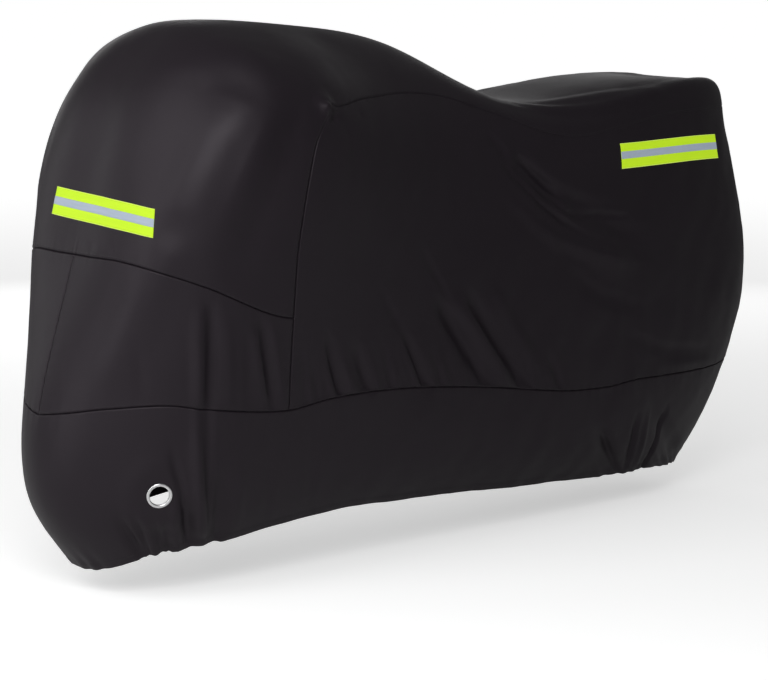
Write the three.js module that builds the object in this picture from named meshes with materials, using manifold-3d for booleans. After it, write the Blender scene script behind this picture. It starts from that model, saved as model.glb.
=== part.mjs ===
// Fitted outdoor cover for a motorcycle, in the shape in which it hangs over the machine.
// The cloth is a thin shell: a hood that runs back as the top panel, two lower front panels, two side
// panels and a skirt. Hood and skirt run on as one cloth where they are divided into nodes. Two
// lock-hole eyelets sit in the skirt, and reflective tape is sewn on the front and both rear quarters.
// Millimetres. The front is towards -X, the left-hand side towards -Y, and +Z is up. The origin is
// the point under the hood's crown where the cover rests on the machine.
import * as THREE from 'three';
import { mergeVertices } from 'three/addons/utils/BufferGeometryUtils.js';
import Module from 'manifold-3d';

// Driving dimensions
const CLOTH = 2;                    // thickness of the hanging cloth with its coating and hem
const SEAM_GAP = 0.32;              // gap between two panels along a seam
const CROWN_STATION = 230;          // where the crown rests, back from the front axle
const CROWN_HEIGHT = 1262;          // height of the crown's outer face above the ground
const EYELET = { bore: 21.5, barrel: 23, flange: 28.5, flangeThickness: 1.5, clearance: 0.3, segments: 24 };
const EYELET_SPOT = { rib: 1.4, line: 5.83 };
const EYELET_FLAT = 48;             // radius round an eyelet in which it keeps the cloth flat
const EYELET_FADE = 100;            // radius at which the flat has faded out
const TAPE = { thickness: 1, width: 62, lift: 0.9 };
const BAND = { thickness: 0.8, width: 18, lift: 0.3 };
const TAPE_SPANS = 18;              // flat facets along a strip of tape

const COLOURS = {
  cloth: { color: 0x1b1a1c, roughness: 0.62, metalness: 0 },
  tape: { color: 0xc4ee14, roughness: 0.5, metalness: 0 },
  band: { color: 0x9aa3b2, roughness: 0.35, metalness: 0.3 },
  eyelet: { color: 0xd9dadc, roughness: 0.18, metalness: 1 },
};

// The form of the left half, nose first; the right half is its mirror image. A rib leaves the spine
// at its heading (0 ahead, 90 to the left, 180 astern). Each pair after the crown is how far out from
// the spine, and how high above the ground, the rib's control point lies on that line.
const LINES = ['brow', 'edge', 'shoulder', 'flank', 'waist', 'belly', 'hem'];
const RIBS = table(['rib', 'heading', 'spine', 'crown', ...LINES], [
  ['nose', 0, 130, 1262, [70, 1262], [160, 1190], [250, 1050], [282, 800], [487, 430], [489, 200], [335, 42]],
  ['fork', 30, 130, 1262, [80, 1262], [190, 1190], [316, 1060], [398, 790], [392, 430], [405, 200], [294, 57]],
  ['cheek', 58, 150, 1262, [122, 1262], [245, 1215], [362, 1080], [392, 770], [348, 430], [317, 200], [244, 117]],
  ['bar', 85, 230, 1262, [120, 1262], [260, 1220], [430, 1090], [350, 750], [305, 420], [270, 210], [220, 137]],
  ['tank', 90, 420, 1243, [90, 1243], [200, 1170], [320, 1030], [300, 740], [300, 410], [280, 220], [220, 142]],
  ['saddle', 90, 700, 1212, [80, 1212], [170, 1108], [240, 980], [275, 720], [290, 380], [280, 220], [220, 136]],
  ['seat', 90, 980, 1013, [120, 1011], [229, 1022], [246, 940], [275, 700], [290, 360], [280, 200], [210, 108]],
  ['rack', 90, 1250, 1080, [140, 1080], [240, 1034], [255, 940], [280, 700], [290, 330], [270, 180], [200, 93]],
  ['haunch', 98, 1500, 1092, [130, 1092], [230, 1086], [248, 950], [270, 700], [270, 330], [235, 170], [180, 69]],
  ['rump', 135, 1600, 1066, [130, 1066], [250, 1082], [238, 950], [344, 640], [276, 350], [182, 170], [106, 56]],
  ['tail', 180, 1620, 1064, [90, 1064], [176, 1078], [185, 950], [302, 640], [256, 350], [146, 170], [42, 56]],
]);
const TAIL = RIBS.length - 1;       // rib number of the tail
const FOOT = LINES.length;          // line number of the hem
const SIDE_RIB = 2.87;              // rib number of the seam between front and side panels
const TOP_RIB = 4.5;                // rib number at which the hood runs on as the top panel
const NOSE_POLE = 1.1;              // ribs ahead of this one share one crown point
const TAIL_POLE = 9.3;              // ribs past this one share one crown point

// Where the seams run: line number at each rib number
const SHOULDER_SEAM = table(['at', 'is'], [
  [0, 2.5], [1.5, 2.6], [2.87, 2.78], [3.1, 2.74], [3.4, 2.62], [3.8, 2.48], [4.3, 2.29], [4.85, 2.16],
  [5.2, 2.2], [5.5, 2.32], [5.9, 2.56], [6.3, 2.68], [6.85, 2.61], [7.4, 2.54], [8.2, 2.55], [10, 2.55],
]);
const FRONT_SEAM = table(['at', 'is'], [
  [0, 4.05], [0.3, 4.01], [0.85, 4.04], [1.3, 4.08], [1.9, 4.18], [2.87, 4.4], [4, 4.25], [6, 4.05],
  [10, 4],
]);
const SKIRT_SEAM = table(['at', 'is'], [
  [0, 5.15], [0.4, 5.09], [0.85, 5.03], [1.5, 5], [2, 5.05], [2.87, 5.11], [3.4, 5.05], [4.3, 5.02],
  [5.2, 5.05], [6.2, 5.14], [6.8, 5.13], [7.2, 5.08], [8.6, 5.12], [10, 5.1],
]);
const HEM = table(['at', 'is'], [
  [0, 6.92], [0.2, 6.92], [0.5, 6.89], [1, 6.8], [1.3, 6.79], [1.9, 6.88], [2.2, 7], [2.9, 6.98],
  [3.9, 6.92], [4.6, 7], [6.3, 6.97], [7.3, 6.95], [7.7, 6.86], [8.2, 6.9], [10, 7],
]);
// The side seam leans back above the waist, to the end of the handlebar: rib number at each line number
const SIDE_SEAM = table(['at', 'is'], [
  [0, 2.9], [1.5, 3.1], [2.6, 3.3], [2.8, 3.28], [2.95, 3.18], [3.15, 3.04], [3.4, 2.96], [3.7, 2.9],
  [4, 2.87], [7, 2.87],
]);

// Folds: a ridge (rise above 0) or trough (below 0) runs from one rib and line to another. A rib
// number below 0 lies on the right-hand side. Width is half of the fold's breadth.
const FOLDS = table(['fold', 'rib', 'line', 'toRib', 'toLine', 'width', 'rise'], [
  ['cheek ridge', 2.34, 2.5, 1.5, 3.9, 76, 13],
  ['cheek ridge, lower', 1.62, 3.7, 0.7, 5, 76, 7],
  ['hollow behind the cheek', 2.75, 2.9, 2.1, 4.3, 110, -10],
  ['crown hollow', 2.6, 1.76, 4.2, 1.2, 70, -9],
  ['bar end', 3.2, 2.74, 3.36, 2.84, 46, 10],
  ['front panel ridge', 1.84, 4.25, 1.85, 5.05, 26, 5],
  ['front panel trough', 1.96, 4.2, 2, 5.1, 24, -6],
  ['front panel rear trough', 2.48, 4.35, 2.71, 5.05, 28, -6],
  ['front panel rear ridge', 2.42, 4.4, 2.58, 5.05, 24, 4],
  ['gather under the bar', 3.3, 4.5, 3.57, 5.1, 26, -5],
  ['gather under the tank', 3.68, 4.6, 3.97, 5.1, 26, -5],
  ['gather under the knee', 4.3, 4.55, 4.7, 5.1, 30, -5],
  ['long pull', 4.66, 4.25, 5.4, 5.1, 40, -8],
  ['long pull, ridge', 4.85, 4.2, 5.6, 5.05, 40, 6],
  ['rear pull', 5.05, 4.22, 5.87, 5.12, 38, -7],
  ['rear sag, front arm', 5.68, 3.0, 6.3, 3.62, 44, -9],
  ['rear sag, foot', 6.2, 3.55, 7.3, 3.98, 48, -9],
  ['rear sag, roll below', 5.6, 3.35, 7.2, 4.22, 70, 9],
  ['hollow under the tail', 6.3, 2.75, 8.3, 2.5, 50, -6],
  ['edge of the tail', 6.1, 1.15, 7.9, 2.02, 40, 6],
  ['edge of the tail, rear', 7.3, 1.92, 9.3, 1.56, 40, 6],
  ['skirt roll', 1.84, 5.05, 1.98, 6.8, 40, 7],
  ['skirt gather, front', 0.94, 5.95, 1.06, 6.85, 24, -6],
  ['skirt gather', 1.72, 5.6, 1.74, 6.9, 24, -6],
  ['skirt gather, rear', 2.12, 5.5, 2.14, 7, 26, -7],
  ['rear skirt gather', 6.65, 5.5, 7.2, 7, 40, -8],
  ['rear skirt gather, back', 7.25, 5.25, 8.5, 7, 44, -8],
  ['right cheek ridge', -2.34, 2.5, -1.5, 3.9, 80, 11],
  ['right hollow behind the cheek', -2.75, 2.9, -2.1, 4.3, 110, -10],
  ['right bar end', -3.2, 2.74, -3.36, 2.84, 46, 10],
  ['right front panel trough', -2.1, 4.25, -2.05, 5.1, 26, -6],
  ['right gather under the bar', -3.2, 4.5, -3.5, 5.1, 28, -5],
  ['right gather under the knee', -4.1, 4.6, -4.5, 5.1, 28, -5],
  ['right long pull', -4.7, 4.2, -5.6, 5.1, 42, -8],
  ['right rear sag, front arm', -5.9, 3.1, -6.5, 3.75, 46, -9],
  ['right rear sag, foot', -6.4, 3.7, -7.6, 4.0, 48, -8],
  ['right rear sag, roll below', -5.8, 3.5, -7.4, 4.3, 70, 8],
  ['right edge of the tail', -6.1, 1.15, -7.9, 2.02, 40, 6],
  ['right edge of the tail, rear', -7.3, 1.92, -9.3, 1.56, 40, 6],
  ['right skirt gather', -1.8, 5.6, -1.85, 6.9, 26, -6],
  ['right skirt gather, rear', -2.5, 5.4, -2.6, 7, 30, -6],
  ['right rear skirt gather', -6.9, 5.5, -7.4, 7, 42, -8],
]);

// Reflective tape: rib and line of its centre line at both ends and half-way
const TAPES = table(['tape', 'rib', 'line', 'midRib', 'midLine', 'toRib', 'toLine'], [
  ['front', -0.6, 3.68, 0.47, 3.72, 1.31, 3.76],
  ['rear_left', 7.02, 3.05, 7.65, 3.07, 8.48, 3.08],
  ['rear_right', -7.02, 3.05, -7.65, 3.07, -8.48, 3.08],
]);

function table(columns, rows) {
  return rows.map((row) => Object.fromEntries(columns.map((name, k) => [name, row[k]])));
}

const clamp = (x, low, high) => Math.min(Math.max(x, low), high);
const mix = (a, b, t) => a + (b - a) * t;
const ease = (t) => t * t * (3 - 2 * t);

// Smooth curve through the rows of a small table
function along(rows, x) {
  const last = rows.length - 1;
  const k = clamp(rows.findIndex((row) => row.at > x) - 1, 0, last - 1);
  const index = x >= rows[last].at ? last - 1 : k;
  const slope = (i) => {
    const a = rows[Math.max(i - 1, 0)];
    const b = rows[Math.min(i + 1, last)];
    return (b.is - a.is) / (b.at - a.at);
  };
  const from = rows[index];
  const to = rows[index + 1];
  const span = to.at - from.at;
  const t = clamp((x - from.at) / span, 0, 1);
  const bend = span * t * (1 - t) * ((1 - t) * slope(index) - t * slope(index + 1));
  const lean = (to.is - from.is) * t * (1 - t) * (2 * t - 1);
  return mix(from.is, to.is, t) + bend + lean;
}

// Control net of the form: ribs in rows, lines in columns, with one phantom row past each end
const net = RIBS.map((rib) => {
  const heading = THREE.MathUtils.degToRad(rib.heading);
  const spread = [[0, rib.crown], ...LINES.map((line) => rib[line])];
  const points = spread.map(([out, up]) => new THREE.Vector3(
    rib.spine - CROWN_STATION - out * Math.cos(heading),
    -out * Math.sin(heading),
    up - CROWN_HEIGHT + CLOTH,
  ));
  const beyond = (a, b) => a.clone().multiplyScalar(2).sub(b);
  return [beyond(points[0], points[1]), ...points, beyond(points.at(-1), points.at(-2))];
});
const mirrored = (row) => row.map((point) => new THREE.Vector3(point.x, -point.y, point.z));
const ribRows = [mirrored(net[1]), ...net, mirrored(net[TAIL - 1])];

const spline = (t) => [
  (1 - t) ** 3 / 6,
  (3 * t ** 3 - 6 * t ** 2 + 4) / 6,
  (-3 * t ** 3 + 3 * t ** 2 + 3 * t + 1) / 6,
  t ** 3 / 6,
];

// Rib numbers run past the tail on to the other side
const wrapRib = (rib) => (rib > TAIL ? rib - 2 * TAIL : rib < -TAIL ? rib + 2 * TAIL : rib);

// Point of the smooth form at a rib number (below 0 on the right-hand side) and a line number
function form(ribNumber, line) {
  const rib = wrapRib(ribNumber);
  const i = clamp(Math.floor(Math.abs(rib)), 0, TAIL - 1);
  const j = clamp(Math.floor(line), 0, FOOT - 1);
  const across = spline(Math.abs(rib) - i);
  const down = spline(line - j);
  const point = new THREE.Vector3();
  across.forEach((wide, a) => down.forEach((high, b) => {
    point.addScaledVector(ribRows[i + a][j + b], wide * high);
  }));
  if (rib < 0) point.y = -point.y;
  return point;
}

// Steps along the rib and the line, and the outward direction, of any surface
const STEP = 0.004;
function frameOf(surface, rib, line) {
  const top = Math.max(line - STEP, 0);
  const alongRibs = surface(rib + STEP, line).sub(surface(rib - STEP, line)).divideScalar(2 * STEP);
  const downLines = surface(rib, line + STEP).sub(surface(rib, top)).divideScalar(line + STEP - top);
  const out = downLines.clone().cross(alongRibs);
  if (out.length() < 1e-3) out.set(0, 0, 1);
  return { alongRibs, downLines, out: out.normalize() };
}

// Height of all folds at one place, measured across each fold on the cloth
function foldRise(rib, line, frame) {
  const perRib = frame.alongRibs.length();
  const perLine = frame.downLines.length();
  let rise = 0;
  for (const fold of FOLDS) {
    const run = [(fold.toRib - fold.rib) * perRib, (fold.toLine - fold.line) * perLine];
    const here = [(rib - fold.rib) * perRib, (line - fold.line) * perLine];
    const part = (here[0] * run[0] + here[1] * run[1]) / (run[0] ** 2 + run[1] ** 2);
    if (part <= 0 || part >= 1) continue;
    const offset = new THREE.Vector3()
      .addScaledVector(frame.alongRibs, rib - mix(fold.rib, fold.toRib, part))
      .addScaledVector(frame.downLines, line - mix(fold.line, fold.toLine, part));
    const off = offset.length() / fold.width;
    if (off < 1) rise += fold.rise * Math.cos(off * Math.PI / 2) ** 2 * Math.sin(part * Math.PI) ** 0.6;
  }
  return rise;
}

// Each eyelet keeps the cloth flat round it
const eyeletSpots = [1, -1].map((side) => {
  const centre = form(side * EYELET_SPOT.rib, EYELET_SPOT.line);
  return { side, centre, out: frameOf(form, side * EYELET_SPOT.rib, EYELET_SPOT.line).out };
});

// Outer face of the cloth, with its folds
function cloth(ribNumber, line) {
  const rib = wrapRib(ribNumber);
  const point = form(rib, line);
  if (line > 0) {
    const frame = frameOf(form, rib, line);
    point.addScaledVector(frame.out, foldRise(rib, line, frame));
  }
  for (const spot of eyeletSpots) {
    const offset = point.clone().sub(spot.centre);
    const fade = ease(clamp((EYELET_FADE - offset.length()) / (EYELET_FADE - EYELET_FLAT), 0, 1));
    point.addScaledVector(spot.out, -fade * offset.dot(spot.out));
  }
  return point;
}

// A place on the cut pattern: column is a rib number before the side seam leans, and row counts the
// bands from the crown down (0 crown, 1 shoulder seam, 2 front seam, 3 skirt seam, 4 hem)
const BAND_EDGES = [null, SHOULDER_SEAM, FRONT_SEAM, SKIRT_SEAM, HEM];
function onPattern(column, row) {
  const distance = Math.abs(column);
  const edge = (k) => (k === 0 ? 0 : along(BAND_EDGES[k], distance));
  const band = Math.min(Math.floor(row), 3);
  const line = mix(edge(band), edge(band + 1), row - band);
  const share = distance < SIDE_RIB ? distance / SIDE_RIB : (TAIL - distance) / (TAIL - SIDE_RIB);
  const rib = distance + (along(SIDE_SEAM, line) - SIDE_RIB) * share;
  return { rib: column < 0 ? -rib : rib, line };
}

const geometryOf = (positions, triangles) => {
  const geometry = new THREE.BufferGeometry();
  geometry.setAttribute('position', new THREE.Float32BufferAttribute(positions, 3));
  geometry.setIndex(triangles);
  return geometry;
};

// Closed sheet between an outer and an inner net of points that share their triangles
function thicken(outer, inner, triangles) {
  const count = outer.length;
  const faces = [];
  const edges = new Map();
  for (const [a, b, c] of triangles) {
    faces.push(a, b, c, a + count, c + count, b + count);
    for (const [from, to] of [[a, b], [b, c], [c, a]]) edges.set(`${from}-${to}`, [from, to]);
  }
  for (const [from, to] of edges.values()) {
    if (edges.has(`${to}-${from}`)) continue;
    faces.push(to, from, from + count, to, from + count, to + count);
  }
  const positions = [...outer, ...inner].flatMap((point) => point.toArray());
  return geometryOf(positions, faces);
}

// Evenly spaced values from one number to another
const steps = (from, to, count) => Array.from({ length: count + 1 }, (_, k) => mix(from, to, k / count));

// A panel cut from the pattern: the cells between its columns and rows that it covers, drawn back by
// half of the seam gap wherever another panel begins
function panelGeometry({ columns, rows, covers = () => true, hood = false }) {
  const lastColumn = columns.length - 1;
  const lastRow = rows.length - 1;
  const cell = (i, j) => {
    if (j < 0) return hood;
    if (hood && i < 0) return cell(lastColumn - 1, j);
    if (hood && i >= lastColumn) return cell(0, j);
    if (i < 0 || i >= lastColumn) return false;
    if (j >= lastRow) return rows[lastRow] === 4 && cell(i, lastRow - 1);
    return covers((columns[i] + columns[i + 1]) / 2, (rows[j] + rows[j + 1]) / 2);
  };
  const points = new Map();
  const outer = [];
  const inner = [];
  const vertex = (i, j) => {
    let column = columns[i];
    const row = rows[j];
    if (row === 0) {
      column = Math.abs(column);
      if (column < NOSE_POLE) column = 0;
      if (column > TAIL_POLE) column = TAIL;
    }
    if (hood && column === -TAIL) column = TAIL;
    const key = `${column.toFixed(4)}:${row.toFixed(4)}`;
    if (!points.has(key)) {
      const missing = [[0, 0], [-1, 0], [0, -1], [-1, -1]].filter(([di, dj]) => !cell(i + di, j + dj));
      const back = (k) => Math.sign(missing.reduce((sum, cellStep) => sum + (cellStep[k] < 0 ? 1 : -1), 0));
      const { rib, line } = onPattern(column, row);
      const frame = frameOf(form, rib, line);
      const side = row === 0 && columns[i] < 0 ? -1 : 1;
      const nudgedRib = rib + side * back(0) * (SEAM_GAP / 2) / Math.max(frame.alongRibs.length(), 1);
      const nudgedLine = line + back(1) * (SEAM_GAP / 2) / frame.downLines.length();
      const point = cloth(nudgedRib, nudgedLine);
      const out = frameOf(cloth, nudgedRib, nudgedLine).out;
      points.set(key, outer.length);
      outer.push(point);
      inner.push(point.clone().addScaledVector(out, -CLOTH));
    }
    return points.get(key);
  };
  const triangles = [];
  const face = (a, b, c) => {
    if (a !== b && b !== c && c !== a) triangles.push([a, b, c]);
  };
  for (let i = 0; i < lastColumn; i += 1) {
    for (let j = 0; j < lastRow; j += 1) {
      if (!cell(i, j)) continue;
      const [a, b, c, d] = [vertex(i, j), vertex(i, j + 1), vertex(i + 1, j + 1), vertex(i + 1, j)];
      if (columns[i] < 0) {
        face(a, b, d);
        face(b, c, d);
      } else {
        face(a, b, c);
        face(a, c, d);
      }
    }
  }
  return thicken(outer, inner, triangles);
}

const wasm = await Module();
wasm.setup();

// Solid for cutting, from a closed geometry
function solidOf(geometry) {
  const bare = geometry.clone();
  bare.deleteAttribute('normal');
  bare.deleteAttribute('uv');
  const merged = mergeVertices(bare, 1e-4);
  return new wasm.Manifold(new wasm.Mesh({
    numProp: 3,
    vertProperties: new Float32Array(merged.attributes.position.array),
    triVerts: new Uint32Array(merged.index.array),
  }));
}

function geometryFrom(solid) {
  const mesh = solid.getMesh();
  return geometryOf(Array.from(mesh.vertProperties), Array.from(mesh.triVerts));
}

// Turns a geometry made round +Z so that it stands at an eyelet
function atEyelet(geometry, spot) {
  const turn = new THREE.Quaternion().setFromUnitVectors(new THREE.Vector3(0, 0, 1), spot.out);
  return geometry.applyQuaternion(turn).translate(...spot.centre.toArray());
}

function eyeletHole(spot) {
  const radius = EYELET.barrel + EYELET.clearance;
  const drill = new THREE.CylinderGeometry(radius, radius, 10 * CLOTH, EYELET.segments);
  return atEyelet(drill.rotateX(Math.PI / 2), spot);
}

// Metal ring of C section: a barrel through the hole, and a rounded flange on both faces of the cloth
function eyeletGeometry(spot) {
  const { bore, barrel, flange, flangeThickness, clearance } = EYELET;
  const top = clearance + flangeThickness;
  const under = -CLOTH - clearance;
  const bottom = under - flangeThickness;
  const round = flangeThickness / 2;
  const profile = [
    [bore, bottom + round], [bore + round / 2, bottom], [flange - round, bottom], [flange, bottom + round],
    [flange, under], [barrel, under], [barrel, clearance], [flange, clearance],
    [flange, top - round], [flange - round, top], [bore + round, top], [bore, top - round],
  ].map(([radius, z]) => new THREE.Vector2(radius, z));
  const lathe = new THREE.LatheGeometry([...profile, profile[0]], EYELET.segments);
  return atEyelet(lathe.rotateX(Math.PI / 2), spot);
}

// Strip that follows the cloth at a small lift above it
function stripGeometry(tape, { width, lift, thickness }) {
  const centre = (t) => {
    const bow = (from, half, to) => mix(from, to, t) + (half - (from + to) / 2) * 4 * t * (1 - t);
    return [bow(tape.rib, tape.midRib, tape.toRib), bow(tape.line, tape.midLine, tape.toLine)];
  };
  const outer = [];
  const inner = [];
  const triangles = [];
  const across = [-1, 0, 1];
  steps(0, 1, TAPE_SPANS).forEach((t, i) => {
    const [rib, line] = centre(t);
    const frame = frameOf(form, rib, line);
    across.forEach((side, j) => {
      const lineHere = line + side * (width / 2) / frame.downLines.length();
      const out = frameOf(cloth, rib, lineHere).out;
      const foot = cloth(rib, lineHere).addScaledVector(out, lift);
      inner.push(foot);
      outer.push(foot.clone().addScaledVector(out, thickness));
      if (i === 0 || j === 0) return;
      const c = i * across.length + j;
      const [a, b, d] = [c - across.length - 1, c - across.length, c - 1];
      const backwards = tape.toRib < tape.rib;
      if (backwards) triangles.push([a, c, b], [a, d, c]);
      else triangles.push([a, b, c], [a, c, d]);
    });
  });
  return thicken(outer, inner, triangles);
}

const cover = new THREE.Group();
cover.name = 'motorcycle_cover';

function addPiece(name, geometry, finish) {
  geometry.computeVertexNormals();
  const mesh = new THREE.Mesh(geometry, new THREE.MeshStandardMaterial(COLOURS[finish]));
  mesh.name = name;
  cover.add(mesh);
}

// Columns of the pattern, nose to tail, closer together past the eyelet; the right-hand side repeats them
const EYELET_COLUMNS = [1.08, 1.18, ...steps(1.27, 1.55, 3), 1.65, 1.8];
const EYELET_ROWS = [3.2, 3.29, ...steps(3.35, 3.59, 4), 3.66, 3.75];
const frontColumns = [
  ...steps(0, EYELET_COLUMNS[0], 6).slice(0, -1),
  ...EYELET_COLUMNS,
  ...steps(EYELET_COLUMNS.at(-1), SIDE_RIB, 8).slice(1),
];
const sideColumns = steps(SIDE_RIB, TAIL, 32);
const leftColumns = [...frontColumns, ...sideColumns.slice(1)];
const bothSides = (columns) => [...columns.slice(1).map((c) => -c).reverse(), ...columns];
const sides = { left: 1, right: -1 };
const toSide = (columns, side) => (side > 0 ? columns : columns.map((c) => -c).reverse());

// Hood, from the front seam over the crown to the tank, and the top panel on to the tail
const hoodCovers = (column, row) => Math.abs(column) < (row < 1 ? TOP_RIB : SIDE_RIB);
const topPanelCovers = (column, row) => row < 1 && Math.abs(column) > TOP_RIB;
for (const [name, covers] of [['hood', hoodCovers], ['top_panel', topPanelCovers]]) {
  addPiece(name, panelGeometry({
    columns: bothSides(leftColumns),
    rows: [...steps(0, 1, 7), ...steps(1, 2, 6).slice(1)],
    covers,
    hood: true,
  }), 'cloth');
}

// Lower front panels and side panels, one of each to a side
for (const [side, sign] of Object.entries(sides)) {
  addPiece(`front_${side}`, panelGeometry({
    columns: toSide(frontColumns, sign),
    rows: steps(2, 3, 7),
  }), 'cloth');
  addPiece(`side_${side}`, panelGeometry({
    columns: toSide(sideColumns, sign),
    rows: [...steps(1, 2, 6), ...steps(2, 3, 7).slice(1)],
  }), 'cloth');
}

// Skirt: the front length holds the eyelets, and one length runs back along each side
const skirtRows = [
  ...steps(3, EYELET_ROWS[0], 2).slice(0, -1),
  ...EYELET_ROWS,
  ...steps(EYELET_ROWS.at(-1), 4, 3).slice(1),
];
const skirtSheet = panelGeometry({ columns: bothSides(frontColumns), rows: skirtRows });
const skirtFront = eyeletSpots.reduce(
  (solid, spot) => solid.subtract(solidOf(eyeletHole(spot))),
  solidOf(skirtSheet),
);
addPiece('skirt_front', geometryFrom(skirtFront), 'cloth');
for (const [side, sign] of Object.entries(sides)) {
  addPiece(`skirt_${side}`, panelGeometry({
    columns: toSide(sideColumns, sign),
    rows: steps(3, 4, 7),
  }), 'cloth');
}

// Lock-hole eyelets
for (const spot of eyeletSpots) {
  addPiece(`eyelet_${spot.side > 0 ? 'left' : 'right'}`, eyeletGeometry(spot), 'eyelet');
}

// Reflective tape, with its grey band sewn along the middle
for (const tape of TAPES) {
  const lift = TAPE.lift + TAPE.thickness + BAND.lift;
  addPiece(`tape_${tape.tape}`, stripGeometry(tape, TAPE), 'tape');
  addPiece(`band_${tape.tape}`, stripGeometry(tape, { ...BAND, lift }), 'band');
}

export default cover;
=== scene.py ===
import math
import bpy
import numpy as np
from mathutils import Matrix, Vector


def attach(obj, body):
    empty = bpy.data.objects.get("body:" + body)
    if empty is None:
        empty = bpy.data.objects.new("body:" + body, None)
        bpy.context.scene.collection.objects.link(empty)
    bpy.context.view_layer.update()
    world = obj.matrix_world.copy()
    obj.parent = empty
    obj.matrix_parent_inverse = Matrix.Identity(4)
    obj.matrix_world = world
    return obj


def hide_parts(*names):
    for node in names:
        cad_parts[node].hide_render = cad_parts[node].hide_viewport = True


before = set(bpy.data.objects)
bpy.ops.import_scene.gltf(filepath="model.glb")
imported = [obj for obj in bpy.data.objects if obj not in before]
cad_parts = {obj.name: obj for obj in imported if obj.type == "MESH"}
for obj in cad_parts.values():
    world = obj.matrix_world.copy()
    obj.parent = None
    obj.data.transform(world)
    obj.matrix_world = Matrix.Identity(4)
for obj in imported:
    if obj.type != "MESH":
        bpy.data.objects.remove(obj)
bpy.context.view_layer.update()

# Hood and top panel
# One piece of black coated polyester, from the front seam over the crown and back to the tail. It hangs
# in the shape that it is cut for, which is measured at eleven ribs from nose to tail.
GROUND = 1.260                      # height of the frame's origin above the ground
SPINE_ORIGIN = 0.230                # how far the origin lies behind the spine's start
CLOTH = 0.0016                      # coated cloth with its seam allowances
SEAM_GAP = 0.00004                  # panels are sewn edge to edge, so hardly any light comes through

# Each rib in millimetres: heading from the spine, place on the spine, crown, then out and up for
# brow, edge, shoulder, flank, waist, belly and hem
ribs = [
    (0, 130, 1262, (70, 1262), (160, 1190), (250, 1050), (282, 800), (487, 430), (489, 200), (335, 42)),
    (30, 130, 1262, (80, 1262), (190, 1190), (316, 1060), (398, 790), (392, 430), (405, 200), (294, 57)),
    (58, 150, 1262, (122, 1262), (245, 1215), (362, 1080), (392, 770), (348, 430), (317, 200), (244, 117)),
    (85, 230, 1262, (120, 1262), (260, 1220), (430, 1090), (350, 750), (305, 420), (270, 210), (220, 137)),
    (90, 420, 1243, (90, 1243), (200, 1170), (320, 1030), (300, 740), (300, 410), (280, 220), (220, 142)),
    (90, 700, 1212, (80, 1212), (170, 1108), (240, 980), (275, 720), (290, 380), (280, 220), (220, 136)),
    (90, 980, 1013, (120, 1011), (229, 1022), (246, 940), (275, 700), (290, 360), (280, 200), (210, 108)),
    (90, 1250, 1080, (140, 1080), (240, 1034), (255, 940), (280, 700), (290, 330), (270, 180), (200, 93)),
    (98, 1500, 1092, (130, 1092), (230, 1086), (248, 950), (270, 700), (270, 330), (235, 170), (180, 69)),
    (135, 1600, 1066, (130, 1066), (250, 1082), (238, 950), (344, 640), (276, 350), (182, 170), (106, 56)),
    (180, 1620, 1064, (90, 1064), (176, 1078), (185, 950), (302, 640), (256, 350), (146, 170), (42, 56)),
]
TAIL = len(ribs) - 1
HEM_LINE = 7
SIDE_RIB = 2.87                     # rib of the seam between front and side panels
NOSE_POLE, TAIL_POLE = 1.1, 9.3     # ribs before and past these share one crown point

# Seams: line number at each rib number
shoulder_seam = [
    (0, 2.5), (1.5, 2.6), (2.87, 2.78), (3.1, 2.74), (3.4, 2.62), (3.8, 2.48), (4.3, 2.29), (4.85, 2.16),
    (5.2, 2.2), (5.5, 2.32), (5.9, 2.56), (6.3, 2.68), (6.85, 2.61), (7.4, 2.54), (8.2, 2.55), (10, 2.55),
]
front_seam = [
    (0, 4.05), (0.3, 4.05), (0.55, 4.045), (0.85, 4.045), (1.3, 4.08), (1.9, 4.18), (2.87, 4.4),
    (4, 4.25), (6, 4.05), (10, 4),
]
skirt_seam = [
    (0, 5.12), (0.4, 5.08), (0.85, 5.03), (1.5, 5), (2, 5.05), (2.87, 5.11), (3.4, 5.05), (4.3, 5.02),
    (5.2, 5.05), (6.2, 5.14), (6.8, 5.13), (7.2, 5.08), (8.6, 5.12), (10, 5.1),
]
hem_edge = [
    (0, 6.92), (0.2, 6.92), (0.5, 6.89), (1, 6.8), (1.3, 6.79), (1.9, 6.88), (2.2, 7), (2.9, 6.98),
    (3.9, 6.92), (4.6, 7), (6.3, 6.97), (7.3, 6.95), (7.7, 6.86), (8.2, 6.9), (10, 7),
]
# The side seam leans back above the waist: rib number at each line number
side_seam = [
    (0, 2.9), (1.5, 3.1), (2.6, 3.3), (2.8, 3.28), (2.95, 3.18), (3.15, 3.04), (3.4, 2.96), (3.7, 2.9),
    (4, 2.87), (7, 2.87),
]

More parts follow.
